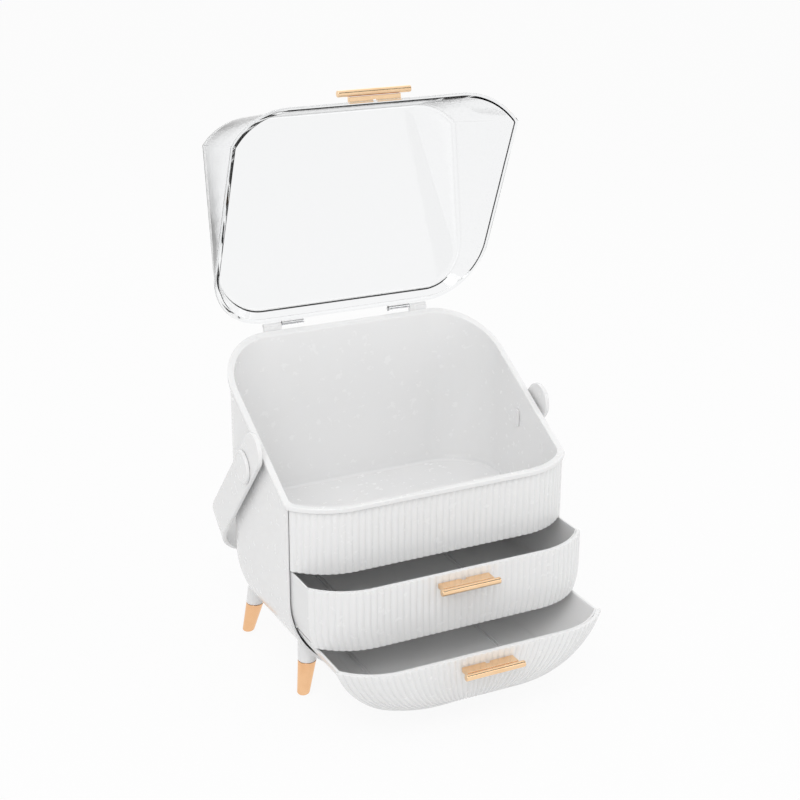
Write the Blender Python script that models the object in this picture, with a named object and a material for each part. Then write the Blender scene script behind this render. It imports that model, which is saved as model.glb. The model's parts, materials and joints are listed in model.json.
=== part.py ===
"""Portable makeup organizer with a clear wedge lid, an open bin, two drawers and a carry strap.

The origin is under the middle of the whole object, on the surface that it stands on.
X runs to the right, Y to the back and Z up.  The drawers are modelled shut, the lid shut and the
strap upright, and their empties then put them in the pose in which the object stands.
"""
import math

import bmesh
import bpy
from mathutils import Vector

# Overall body
HALF_WIDTH = 0.138
REAR_DEPTH = 0.169
REAR_CORNER_RADIUS = 0.0535
FRONT_SWELL = 0.0275
FRONT_RADIUS = 0.067
WALL = 0.0018
FIT = 0.0003
CUT_OVERRUN = 0.02

# Heights over the surface that the legs stand on
RIM_FRONT_HEIGHT = 0.195
RIM_SLOPE = math.radians(29.66)
BIN_FLOOR_HEIGHT = 0.1338
BAND_BOTTOM_HEIGHT = 0.1322
UPPER_FRONT_TOP = 0.1312
UPPER_FRONT_BOTTOM = 0.0746
LOWER_FRONT_TOP = 0.0734
LOWER_FRONT_BOTTOM = 0.0222

# The rounded underside: where it starts, how deep it is and how far each side comes in
CURVE_TOP = 0.1007
CURVE_HEIGHT = 0.0787
SIDE_TUCK = 0.075
FRONT_TUCK = 0.020
REAR_TUCK = 0.045
REAR_DRAFT = 0.003
CORNER_SHRINK = 0.4

# Rim lip and bin
LIP_REACH = 0.002
LIP_HEIGHT = 0.0045
BIN_WALL = 0.0015
BIN_FLOOR_THICKNESS = 0.0016
BIN_FILLET = 0.006

# Flutes
FLUTE_COUNT = 46
FLUTE_DEPTH = 0.0013
SKIN = 0.0022
FRONT_INSET = 0.0012
FRONT_SEAM = 0.0006

# Drawers
DRAWER_SIDE_GAP = 0.0012
BIN_SIDE_GAP = 0.0007
DRAWER_WALL = 0.0018
DRAWER_FLOOR = 0.0018
DRAWER_REAR = REAR_DEPTH - 0.023
DRAWER_CORNER_RADIUS = 0.045
DRAWER_TOP_STEP = 0.0004
UPPER_FLOOR_HEIGHT = 0.0768
LOWER_FLOOR_HEIGHT = 0.0290
UPPER_PULLED = 0.0360
LOWER_PULLED = 0.0830

# Shelf between the drawers and runners under the lower one
SHELF_THICKNESS = 0.0016
SHELF_FRONT = 0.001
SHELF_SIDE_GAP = 0.0008
RUNNER_WIDTH = 0.006
RUNNER_OFFSET = 0.040
RUNNER_FRONT = 0.004
RUNNER_LENGTH = 0.094

# Legs
LEG_TIP_X = HALF_WIDTH - 0.0185
LEG_FRONT_Y = 0.0140
LEG_REAR_Y = REAR_DEPTH - 0.0220
LEG_SPLAY_X = 0.20
LEG_SPLAY_Y = 0.14
LEG_HEIGHT = 0.080
LEG_FOOT_RADIUS = 0.0058
LEG_TIP_RADIUS = 0.0085
LEG_TOP_RADIUS = 0.0140
LEG_TIP_HEIGHT = 0.031
LEG_EDGE = 0.001
STUD_RADIUS = 0.003
STUD_DEPTH = 0.008
STUD_RISE = 0.0008

# Lid
HINGE_Y = REAR_DEPTH + 0.0052
HINGE_Z = RIM_FRONT_HEIGHT + REAR_DEPTH * math.tan(RIM_SLOPE) + 0.00476
LID_OPEN = math.radians(98)
LID_TOP_HEIGHT = HINGE_Z + 0.0035
LID_SEAT = 0.0011
LID_WALL = 0.002
LID_INSET = 0.011
LID_FLANGE = 0.0026
LID_FLANGE_WIDTH = 0.0024
LID_EDGE = 0.0015

# Hinges
HINGE_OUTER_X = 0.085
HINGE_SPLIT_X = 0.067
HINGE_INNER_X = 0.0445
HINGE_KNUCKLE_RADIUS = 0.0022
HINGE_PIN_RADIUS = 0.0009
HINGE_PLATE_DROP = 0.012
HINGE_PLATE_THICKNESS = 0.0018

# Strap
PIVOT_Y = 0.075
PIVOT_Z = RIM_FRONT_HEIGHT + 0.0085
STRAP_INNER_X = HALF_WIDTH + 0.0048
STRAP_THICKNESS = 0.004
STRAP_WIDTH = 0.034
STRAP_ARM = 0.100
STRAP_BEND = 0.066
STRAP_TAIL = 0.0285
STRAP_SWING = math.radians(138)
CAP_RADIUS = 0.0155
CAP_THICKNESS = 0.0030
CAP_EDGE = 0.0008
STEM_RADIUS = 0.0042
WASHER_RADIUS = 0.009
CLIP_HEIGHT = 0.016
CLIP_WIDTH = 0.008
CLIP_THICKNESS = 0.002

# Pulls
PULL_BAR_RADIUS = 0.0030
PULL_BAR_HALF = 0.0288
PULL_PLATE_HALF = 0.0250
PULL_PLATE_HEIGHT = 0.0044
PULL_REACH = 0.0140
PULL_NOTCH = 0.0045
PULL_NOTCH_DEPTH = 0.0028
PULL_SCREW_X = 0.016
PULL_SCREW_RADIUS = 0.0014
PULL_SCREW_HEAD = 0.0030
PULL_SCREW_HEAD_DEPTH = 0.0015
PULL_SCREW_BITE = 0.0016
PULL_SCREW_LIFT = 0.0010
UPPER_PULL_HEIGHT = 0.1220
LOWER_PULL_HEIGHT = 0.0628
LID_BAR_HALF = 0.0355
LID_PLATE_HALF = 0.0250
LID_PULL_RISE = 0.0095
LID_PULL_REACH = 0.0095

# How finely curves are divided
ARC_STEPS = 8
POINTS_PER_FLUTE = 3
ROUND_STEPS = 16
SHELL_LEVELS = 8
BAND_LEVELS = 3
UPPER_LEVELS = 4
LOWER_LEVELS = 7
TAIL_STEPS = 4
BEND_STEPS = 10
FLUTE_SHARES = (0.0, 0.87, 0.87)
FILLET_SHARE = 0.3

SIDES = (("left", -1), ("right", 1))


def clear_scene():
    """Start from an empty scene."""
    for item in list(bpy.data.objects):
        bpy.data.objects.remove(item, do_unlink=True)


def make_material(name, colour, roughness, metallic=0.0, transmission=0.0):
    """A plain material in the piece's colour."""
    material = bpy.data.materials.new(name)
    material.use_nodes = True
    shader = material.node_tree.nodes["Principled BSDF"]
    shader.inputs["Base Color"].default_value = (*colour, 1.0)
    shader.inputs["Roughness"].default_value = roughness
    shader.inputs["Metallic"].default_value = metallic
    shader.inputs["Transmission Weight"].default_value = transmission
    return material


class Frame:
    """An empty that carries pieces, with the point of the shut model that it stands for."""

    def __init__(self, name, parent=None, pivot=(0.0, 0.0, 0.0), shift=(0.0, 0.0, 0.0), turn=0.0):
        self.pivot = Vector(pivot)
        self.empty = bpy.data.objects.new(name, None)
        self.empty.location = self.pivot + Vector(shift)
        self.empty.rotation_euler.x = turn
        self.empty.parent = parent.empty if parent else None
        bpy.context.scene.collection.objects.link(self.empty)


def finish_mesh(name, shape, material, frame, smooth_angle=math.radians(32)):
    """Turn a bmesh of the shut model into a named object whose origin is its frame's."""
    bmesh.ops.translate(shape, vec=-frame.pivot, verts=shape.verts)
    bmesh.ops.recalc_face_normals(shape, faces=shape.faces)
    mesh = bpy.data.meshes.new(name)
    shape.to_mesh(mesh)
    shape.free()
    mesh.shade_smooth()
    mesh.set_sharp_from_angle(angle=smooth_angle)
    mesh.materials.append(material)
    piece = bpy.data.objects.new(name, mesh)
    piece.parent = frame.empty
    bpy.context.scene.collection.objects.link(piece)
    return piece


def loft(name, rings, material, frame):
    """A closed solid through rings of equal length, with a flat cap on the first and last."""
    shape = bmesh.new()
    loops = [[shape.verts.new(point) for point in ring] for ring in rings]
    for low, high in zip(loops, loops[1:]):
        for index, corner in enumerate(low):
            following = (index + 1) % len(low)
            shape.faces.new((corner, low[following], high[following], high[index]))
    shape.faces.new(list(reversed(loops[0])))
    shape.faces.new(loops[-1])
    return finish_mesh(name, shape, material, frame)


def make_guide(piece):
    """Mark an object as a cutter, which is not a piece of the product."""
    piece.hide_render = True
    piece.display_type = "WIRE"
    return piece


def cut(piece, cutter):
    """Take the cutter's space out of a piece."""
    modifier = piece.modifiers.new("cut_" + cutter.name, "BOOLEAN")
    modifier.operation = "DIFFERENCE"
    modifier.solver = "EXACT"
    modifier.object = cutter


def join(piece, other):
    """Add another solid to a piece."""
    modifier = piece.modifiers.new("join_" + other.name, "BOOLEAN")
    modifier.operation = "UNION"
    modifier.solver = "EXACT"
    modifier.object = make_guide(other)


def box_rings(low, high):
    """Two rings of a block between two corners."""
    return [[(low[0], low[1], z), (high[0], low[1], z), (high[0], high[1], z), (low[0], high[1], z)]
            for z in (low[2], high[2])]


def circle(radius, steps=ROUND_STEPS):
    """Points round a circle, as pairs."""
    turns = [2 * math.pi * step / steps for step in range(steps)]
    return [(radius * math.cos(turn), radius * math.sin(turn)) for turn in turns]


def rod_along_x(profile, y, z, side=1):
    """Rings of a turned piece on an X axis; the profile lists (x, radius)."""
    return [[(side * x, y + u, z + v) for u, v in circle(radius)] for x, radius in profile]


def rod_along_y(profile, x, z):
    """Rings of a turned piece on a Y axis; the profile lists (y, radius)."""
    return [[(x + u, y, z + v) for u, v in circle(radius)] for y, radius in profile]


def tuck(z, reach):
    """How far a wall has come in at height z, when it comes in by reach at the very bottom."""
    drop = min(1.0, max(0.0, CURVE_TOP - z) / CURVE_HEIGHT)
    return reach * (1 - math.sqrt(1 - drop * drop))


def rear_draft(z):
    """How far the back leans in below the front rim's height."""
    share = (RIM_FRONT_HEIGHT - z) / (RIM_FRONT_HEIGHT - CURVE_TOP)
    return REAR_DRAFT * min(1.0, max(0.0, share))


def rim_height(y):
    """Height of the rim's top: level round the front, sloping up along the sides."""
    return RIM_FRONT_HEIGHT + max(0.0, y) * math.tan(RIM_SLOPE)


def front_line(z, inset, side=None, corner=None, steps=ARC_STEPS):
    """The bowed front at height z, moved in by inset: arc, straight, arc, left to right.

    It ends where it meets the side wall, moved in by side, or on the line y = corner.
    """
    radius = FRONT_RADIUS - inset
    centre_y = FRONT_RADIUS - FRONT_SWELL + tuck(z, FRONT_TUCK)
    half = HALF_WIDTH - tuck(z, SIDE_TUCK)
    centre_x = half - math.sqrt(FRONT_RADIUS ** 2 - centre_y ** 2)
    if corner is None:
        turn = math.asin((half - (inset if side is None else side) - centre_x) / radius)
    else:
        turn = math.acos((centre_y - corner) / radius)
    angles = [turn * (1 - step / steps) for step in range(steps + 1)]
    left = [(-centre_x - radius * math.sin(a), centre_y - radius * math.cos(a)) for a in angles]
    return left + [(-x, y) for x, y in reversed(left)]


def rear_line(half, rear, radius, steps=ARC_STEPS):
    """The back from the right side to the left side, with a rounded corner at each end."""
    angles = [math.pi / 2 * step / steps for step in range(steps + 1)]
    right = [(half - radius + radius * math.cos(a), rear - radius + radius * math.sin(a))
             for a in angles]
    return right + [(-x, y) for x, y in reversed(right)]


def shell_back(z, inset):
    """The shell's back at height z, from the right side to the left side."""
    half = HALF_WIDTH - inset - tuck(z, SIDE_TUCK)
    rear = REAR_DEPTH - inset - rear_draft(z) - tuck(z, REAR_TUCK)
    return rear_line(half, rear, REAR_CORNER_RADIUS - inset - tuck(z, SIDE_TUCK) * CORNER_SHRINK)


def outline(z, inset, side=None):
    """The plan outline at height z, bowed front and rounded back, moved in by inset."""
    return front_line(z, inset, side) + shell_back(z, inset if side is None else side)


def shell_outline(z, inset, front):
    """The shell's plan at height z, cut straight across at the front."""
    half = HALF_WIDTH - inset - tuck(z, SIDE_TUCK)
    return [(-half, front), (half, front)] + shell_back(z, inset)


def follow_rim(points, offset):
    """Points of an outline lifted to the rim, and moved up by offset."""
    return [(x, y, rim_height(y) + offset) for x, y in points]


def at_height(points, z):
    """Points of an outline on one level."""
    return [(x, y, z) for x, y in points]


def curve_levels(bottom, top, count):
    """Heights between bottom and top, closer together where the underside curves in."""
    def turn(z):
        drop = (CURVE_TOP - z) / CURVE_HEIGHT
        return math.asin(min(1.0, drop)) if drop > 0 else drop

    def height(angle):
        return CURVE_TOP - CURVE_HEIGHT * (math.sin(angle) if angle > 0 else angle)

    low, high = turn(bottom), turn(top)
    inner = [height(low + (high - low) * step / (count - 1)) for step in range(1, count - 1)]
    return [bottom] + inner + [top]


def shell_rings(inset, front, rise, offset):
    """Rings of the body from its underside, moved up by rise, to a line along the rim."""
    levels = curve_levels(CURVE_TOP - CURVE_HEIGHT, CURVE_TOP, SHELL_LEVELS)
    levels.append((CURVE_TOP + RIM_FRONT_HEIGHT) / 2)
    rings = [at_height(shell_outline(z, inset, front), z + rise) for z in levels]
    rings.append(follow_rim(shell_outline(RIM_FRONT_HEIGHT, inset, front), offset))
    return rings


def make_shell(root, white):
    """The sides, back and underside in one moulding, open at the front and on top."""
    shell = loft("body_shell", shell_rings(0.0, 0.0, 0.0, -LIP_HEIGHT - FIT), white, root)
    inside = shell_rings(WALL, -CUT_OVERRUN, WALL, CUT_OVERRUN)
    cut(shell, make_guide(loft("shell_hollow", inside, white, root)))
    return shell


def make_bin(root, white):
    """The upper bin: a tub whose lip covers the top of the shell and of the front band."""
    outer = FRONT_INSET + SKIN + FIT
    outer_side = WALL + BIN_SIDE_GAP
    under = BIN_FLOOR_HEIGHT - BIN_FLOOR_THICKNESS
    low = BIN_FLOOR_HEIGHT + BIN_FILLET
    top = RIM_FRONT_HEIGHT

    rise = BIN_FILLET * FILLET_SHARE

    def wall(z, extra):
        return outline(z, outer + extra, outer_side + extra)

    rings = [
        at_height(wall(BIN_FLOOR_HEIGHT, BIN_WALL + BIN_FILLET), BIN_FLOOR_HEIGHT),
        at_height(wall(low, BIN_WALL + rise), BIN_FLOOR_HEIGHT + rise),
        at_height(wall(low, BIN_WALL), low),
        follow_rim(wall(top, BIN_WALL), 0.0),
        follow_rim(outline(top, -LIP_REACH), 0.0),
        follow_rim(outline(top, -LIP_REACH), -LIP_HEIGHT),
        follow_rim(wall(top, 0.0), -LIP_HEIGHT),
        at_height(wall(low, 0.0), low),
        at_height(wall(under, BIN_FILLET), under),
    ]
    return loft("bin_tray", rings, white, root)


def place_along(points, share):
    """The point at a share of a line's length, with the direction out of the body there."""
    lengths = [math.dist(a, b) for a, b in zip(points, points[1:])]
    left = share * sum(lengths)
    last = len(lengths) - 1
    for index, length in enumerate(lengths):
        if left <= length or index == last:
            break
        left -= length
    a, b = points[index], points[index + 1]
    step = min(1.0, left / length)
    direction = ((b[0] - a[0]) / length, (b[1] - a[1]) / length)
    point = (a[0] + (b[0] - a[0]) * step, a[1] + (b[1] - a[1]) * step)
    return point, (direction[1], -direction[0])


def fluted_ring(z):
    """One section of a fluted skin: out along the flutes and back along the smooth inside."""
    outside = front_line(z, FRONT_INSET, corner=-FRONT_SEAM)
    behind = front_line(z - SKIN, FRONT_INSET + SKIN, corner=-FRONT_SEAM)
    count = FLUTE_COUNT * POINTS_PER_FLUTE
    ring = []
    for index in range(count + 1):
        point, normal = place_along(outside, index / count)
        rise = FLUTE_DEPTH * FLUTE_SHARES[index % POINTS_PER_FLUTE]
        ring.append((point[0] + normal[0] * rise, point[1] + normal[1] * rise, z))
    for index in range(FLUTE_COUNT + 1):
        point, normal = place_along(behind, 1 - index / FLUTE_COUNT)
        ring.append((point[0], point[1], z))
    return ring


def make_fluted_skin(name, bottom, top, levels, material, frame):
    """A fluted front between two heights."""
    rings = [fluted_ring(z) for z in curve_levels(bottom, top, levels)]
    return loft(name, rings, material, frame)


def drawer_outline(z, inset):
    """A drawer's plan at height z: behind the fluted skin in front, clear of the shell behind."""
    side = WALL + DRAWER_SIDE_GAP + inset
    level = z - side
    half = HALF_WIDTH - side - tuck(level, SIDE_TUCK)
    rear = DRAWER_REAR - inset - tuck(level, REAR_TUCK)
    return (front_line(level, FRONT_INSET + SKIN + FIT + inset, side)
            + rear_line(half, rear, DRAWER_CORNER_RADIUS - inset))


def make_drawer_tray(name, floor, top, levels, material, frame):
    """A drawer's tub, with walls that follow the rounded underside."""
    outer = curve_levels(floor, top, levels)
    inner = curve_levels(floor + DRAWER_FLOOR, top, levels)
    rings = [at_height(drawer_outline(z, 0.0), z) for z in outer]
    rings += [at_height(drawer_outline(z, DRAWER_WALL), z) for z in reversed(inner)]
    return loft(name, rings, material, frame)


def make_pull(prefix, height, halves, back, reach, gold, frame):
    """A round bar in front of a level ledge, which is notched where it meets a face at y = back."""
    bar_half, plate_half = halves
    bar_y = back - reach
    half = PULL_PLATE_HEIGHT / 2
    low = (-plate_half, bar_y + PULL_BAR_RADIUS + FIT, height - half)
    plate = loft(prefix + "_pull_plate", box_rings(low, (plate_half, back, height + half)), gold, frame)
    low = (-PULL_NOTCH / 2, back - PULL_NOTCH_DEPTH, height - CUT_OVERRUN)
    high = (PULL_NOTCH / 2, back + CUT_OVERRUN, height + CUT_OVERRUN)
    cut(plate, make_guide(loft(prefix + "_pull_notch", box_rings(low, high), gold, frame)))
    edge = PULL_BAR_RADIUS / 5
    profile = [(-bar_half, PULL_BAR_RADIUS - edge), (-bar_half + edge, PULL_BAR_RADIUS),
               (bar_half - edge, PULL_BAR_RADIUS), (bar_half, PULL_BAR_RADIUS - edge)]
    loft(prefix + "_pull_bar", rod_along_x(profile, bar_y, height), gold, frame)
    return plate


def make_pull_screws(prefix, height, pieces, steel, frame):
    """Two screws from inside the drawer through its front into the pull's plate."""
    inside = -FRONT_SWELL + FRONT_INSET + SKIN + FIT + DRAWER_WALL
    inside += tuck(height - WALL - DRAWER_SIDE_GAP - DRAWER_WALL, FRONT_TUCK)
    head = inside + FIT + PULL_SCREW_LIFT
    tip = pull_back(height) - PULL_SCREW_BITE
    for name, side in SIDES:
        profile = [(tip, PULL_SCREW_RADIUS), (head, PULL_SCREW_RADIUS), (head, PULL_SCREW_HEAD),
                   (head + PULL_SCREW_HEAD_DEPTH, PULL_SCREW_HEAD - PULL_SCREW_HEAD_DEPTH / 2)]
        rings = rod_along_y(profile, side * PULL_SCREW_X, height)
        loft(f"{prefix}_pull_screw_{name}", rings, steel, frame)
        bore = [(tip - FIT, PULL_SCREW_RADIUS + FIT), (head + CUT_OVERRUN, PULL_SCREW_RADIUS + FIT)]
        rings = rod_along_y(bore, side * PULL_SCREW_X, height)
        cutter = make_guide(loft(f"{prefix}_bore_{name}", rings, steel, frame))
        for piece in pieces:
            cut(piece, cutter)


def pull_back(height):
    """Where the back of a drawer's pull plate lies: just clear of the flutes at its top edge."""
    upper = tuck(height + PULL_PLATE_HEIGHT / 2, FRONT_TUCK)
    return -FRONT_SWELL + FRONT_INSET - FLUTE_DEPTH - FIT + upper


def make_drawer(prefix, frame, heights, levels, pull_height, finishes):
    """A drawer: its tub, its fluted front and its pull."""
    white, gold, steel = finishes
    bottom, top, floor = heights
    tray = make_drawer_tray(prefix + "_drawer_tray", floor, top - DRAWER_TOP_STEP, levels, white, frame)
    skin = make_fluted_skin(prefix + "_drawer_front", bottom, top, levels, white, frame)
    halves = (PULL_BAR_HALF, PULL_PLATE_HALF)
    plate = make_pull(prefix, pull_height, halves, pull_back(pull_height), PULL_REACH, gold, frame)
    make_pull_screws(prefix, pull_height, (skin, tray, plate), steel, frame)


def make_shelf(root, white):
    """The shelf that the upper drawer slides on."""
    top = UPPER_FLOOR_HEIGHT - FIT
    rings = [at_height(shell_outline(z - WALL, WALL + SHELF_SIDE_GAP, SHELF_FRONT), z)
             for z in (top - SHELF_THICKNESS, top)]
    loft("drawer_shelf", rings, white, root)


def make_runners(root, white):
    """Two ribs on the underside's inner face that the lower drawer slides on."""
    bottom = CURVE_TOP - CURVE_HEIGHT + WALL + FIT
    for name, side in SIDES:
        near = side * RUNNER_OFFSET - RUNNER_WIDTH / 2
        low = (near, RUNNER_FRONT, bottom)
        high = (near + RUNNER_WIDTH, RUNNER_FRONT + RUNNER_LENGTH, LOWER_FLOOR_HEIGHT - FIT)
        loft("lower_runner_" + name, box_rings(low, high), white, root)


def leg_rings(sections, foot, splay=(0.0, 0.0)):
    """Level rings of a leg that leans by splay; the sections list (height, radius)."""
    return [[(foot[0] - splay[0] * z + u, foot[1] - splay[1] * z + v, z) for u, v in circle(radius)]
            for z, radius in sections]


def underside_height(x):
    """Height of the body's rounded underside at a distance x from the middle."""
    reach = (SIDE_TUCK - (HALF_WIDTH - abs(x))) / SIDE_TUCK
    return CURVE_TOP - CURVE_HEIGHT * math.sqrt(1 - reach * reach)


def make_legs(root, shell, white, gold, steel):
    """Four splayed legs, each a white cone with a metal tip, and the stud that holds it."""
    space = shell_rings(-FIT, 0.0, -FIT, -LIP_HEIGHT)
    keep_out = make_guide(loft("leg_space", space, white, root))
    for side_name, side in SIDES:
        for end_name, foot_y, end in (("front", LEG_FRONT_Y, -1), ("rear", LEG_REAR_Y, 1)):
            name = f"{end_name}_{side_name}"
            foot = (side * LEG_TIP_X, foot_y)
            splay = (side * LEG_SPLAY_X, end * LEG_SPLAY_Y)
            tip = [(0.0, LEG_FOOT_RADIUS - LEG_EDGE), (LEG_EDGE, LEG_FOOT_RADIUS),
                   (LEG_TIP_HEIGHT, LEG_TIP_RADIUS)]
            loft("leg_tip_" + name, leg_rings(tip, foot, splay), gold, root)
            cone = [(LEG_TIP_HEIGHT + FIT, LEG_TIP_RADIUS), (LEG_HEIGHT, LEG_TOP_RADIUS)]
            leg = loft("leg_" + name, leg_rings(cone, foot, splay), white, root)
            cut(leg, keep_out)
            seat = underside_height(LEG_TIP_X - LEG_SPLAY_X * LEG_HEIGHT / 2)
            centre = (foot[0] - splay[0] * seat, foot[1] - splay[1] * seat)
            stud = [(seat - STUD_DEPTH, STUD_RADIUS), (seat + STUD_RISE, STUD_RADIUS)]
            loft("leg_stud_" + name, leg_rings(stud, centre), steel, root)
            wide = STUD_RADIUS + FIT
            hole = [(seat - STUD_DEPTH - FIT, wide), (seat + CUT_OVERRUN, wide)]
            cutter = make_guide(loft("stud_hole_" + name, leg_rings(hole, centre), steel, root))
            cut(leg, cutter)
            cut(shell, cutter)


def make_lid(frame, clear):
    """The clear lid: a flange on the rim, walls that lean in and a level top."""
    top = RIM_FRONT_HEIGHT
    flange = LID_FLANGE_WIDTH - LIP_REACH
    edge = LID_INSET - LIP_REACH
    rings = [
        at_height(outline(top, edge + LID_WALL), LID_TOP_HEIGHT - LID_WALL),
        follow_rim(outline(top, flange + LID_WALL), LID_SEAT),
        follow_rim(outline(top, -LIP_REACH), LID_SEAT),
        follow_rim(outline(top, -LIP_REACH), LID_SEAT + LID_FLANGE),
        follow_rim(outline(top, flange), LID_SEAT + LID_FLANGE),
        at_height(outline(top, edge - LID_EDGE / 2), LID_TOP_HEIGHT - LID_EDGE / 2),
        at_height(outline(top, edge), LID_TOP_HEIGHT),
    ]
    loft("lid_shell", rings, clear, frame)


def make_hinges(root, frame, finishes):
    """Two hinges: a bracket on the back wall, a leaf on the lid and a pin through both."""
    white, clear, steel = finishes
    radius = HINGE_KNUCKLE_RADIUS
    lip_back = REAR_DEPTH + LIP_REACH + FIT
    plate_back = HINGE_Y + HINGE_PLATE_THICKNESS / 2
    lip_under = rim_height(REAR_DEPTH) - LIP_HEIGHT - FIT
    foot = lip_under - HINGE_PLATE_DROP
    for name, side in SIDES:
        def span(near, far):
            return min(side * near, side * far), max(side * near, side * far)

        split = HINGE_SPLIT_X + FIT
        low_x, high_x = span(split, HINGE_OUTER_X)
        barrel = [(split, radius), (HINGE_OUTER_X, radius)]
        bracket = loft("hinge_bracket_" + name, rod_along_x(barrel, HINGE_Y, HINGE_Z, side), white, root)
        low = (low_x, lip_back, foot)
        high = (high_x, plate_back, HINGE_Z)
        join(bracket, loft("hinge_plate_" + name, box_rings(low, high), white, root))
        low = (low_x, REAR_DEPTH + FIT, foot)
        high = (high_x, plate_back, lip_under)
        join(bracket, loft("hinge_foot_" + name, box_rings(low, high), white, root))
        split = HINGE_SPLIT_X - FIT
        low_x, high_x = span(HINGE_INNER_X, split)
        barrel = [(HINGE_INNER_X, radius), (split, radius)]
        leaf = loft("lid_hinge_leaf_" + name, rod_along_x(barrel, HINGE_Y, HINGE_Z, side), clear, frame)
        low = (low_x, lip_back, HINGE_Z - radius)
        high = (high_x, HINGE_Y, HINGE_Z)
        join(leaf, loft("hinge_arm_" + name, box_rings(low, high), clear, frame))
        pin = [(HINGE_INNER_X, HINGE_PIN_RADIUS), (HINGE_OUTER_X, HINGE_PIN_RADIUS)]
        loft("hinge_pin_" + name, rod_along_x(pin, HINGE_Y, HINGE_Z, side), steel, root)
        wide = HINGE_PIN_RADIUS + FIT
        hole = [(HINGE_INNER_X - CUT_OVERRUN, wide), (HINGE_OUTER_X + CUT_OVERRUN, wide)]
        rings = rod_along_x(hole, HINGE_Y, HINGE_Z, side)
        bore = make_guide(loft("pin_hole_" + name, rings, steel, root))
        cut(bracket, bore)
        cut(leaf, bore)


def strap_sections():
    """The upright strap's middle line from the left tail over the top: point, normal, half width."""
    middle = STRAP_INNER_X + STRAP_THICKNESS / 2
    half = STRAP_WIDTH / 2
    sections = []
    for step in range(TAIL_STEPS):
        turn = math.pi / 2 * (1 - (step + 1) / (TAIL_STEPS + 1))
        sections.append((-middle, -STRAP_TAIL - half * math.sin(turn), math.pi, half * math.cos(turn)))
    sections.append((-middle, -STRAP_TAIL, math.pi, half))
    for step in range(BEND_STEPS + 1):
        turn = math.pi - math.pi / 2 * step / BEND_STEPS
        x = -middle + STRAP_BEND + STRAP_BEND * math.cos(turn)
        sections.append((x, STRAP_ARM + STRAP_BEND * math.sin(turn), turn, half))
    return sections + [(-x, z, math.pi - turn, width) for x, z, turn, width in reversed(sections)]


def make_strap(frame, white):
    """The flat carry strap: two arms with rounded tails, wide bends and a crossbar."""
    rings = []
    for x, z, turn, half in strap_sections():
        out = (math.cos(turn) * STRAP_THICKNESS / 2, math.sin(turn) * STRAP_THICKNESS / 2)
        rings.append([(x + sign * out[0], PIVOT_Y + edge * half, PIVOT_Z + z + sign * out[1])
                      for sign, edge in ((-1, -1), (1, -1), (1, 1), (-1, 1))])
    return loft("carry_strap", rings, white, frame)


def make_pivots(root, pieces, finishes):
    """At each side a cap whose stem carries the strap, a washer behind it and a clip inside."""
    white, steel = finishes
    strap_out = STRAP_INNER_X + STRAP_THICKNESS + FIT
    bin_inside = HALF_WIDTH - WALL - BIN_SIDE_GAP - BIN_WALL
    for name, side in SIDES:
        profile = [(bin_inside, STEM_RADIUS), (strap_out, STEM_RADIUS), (strap_out, CAP_RADIUS),
                   (strap_out + CAP_THICKNESS - CAP_EDGE, CAP_RADIUS),
                   (strap_out + CAP_THICKNESS, CAP_RADIUS - CAP_EDGE)]
        loft("pivot_cap_" + name, rod_along_x(profile, PIVOT_Y, PIVOT_Z, side), white, root)
        wide = STEM_RADIUS + FIT
        hole = [(bin_inside - CUT_OVERRUN / 2, wide), (strap_out + CUT_OVERRUN, wide)]
        rings = rod_along_x(hole, PIVOT_Y, PIVOT_Z, side)
        bore = make_guide(loft("stem_hole_" + name, rings, steel, root))
        disc = [(HALF_WIDTH + FIT, WASHER_RADIUS), (STRAP_INNER_X - FIT, WASHER_RADIUS)]
        washer = loft("pivot_washer_" + name, rod_along_x(disc, PIVOT_Y, PIVOT_Z, side), white, root)
        for piece in pieces + (washer,):
            cut(piece, bore)
        face = side * (bin_inside - FIT)
        back = side * (bin_inside - FIT - CLIP_THICKNESS)
        low = (min(face, back), PIVOT_Y - CLIP_WIDTH / 2, PIVOT_Z - CLIP_HEIGHT / 2)
        high = (max(face, back), PIVOT_Y + CLIP_WIDTH / 2, PIVOT_Z + CLIP_HEIGHT / 2)
        loft("pivot_clip_" + name, box_rings(low, high), white, root)


def world_bounds():
    """The lowest and highest corner of all the pieces as they stand."""
    graph = bpy.context.evaluated_depsgraph_get()
    corners = []
    for item in bpy.context.scene.objects:
        if item.type == "MESH" and not item.hide_render:
            shown = item.evaluated_get(graph)
            corners += [shown.matrix_world @ Vector(corner) for corner in shown.bound_box]
    low = [min(corner[axis] for corner in corners) for axis in range(3)]
    high = [max(corner[axis] for corner in corners) for axis in range(3)]
    return low, high


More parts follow.
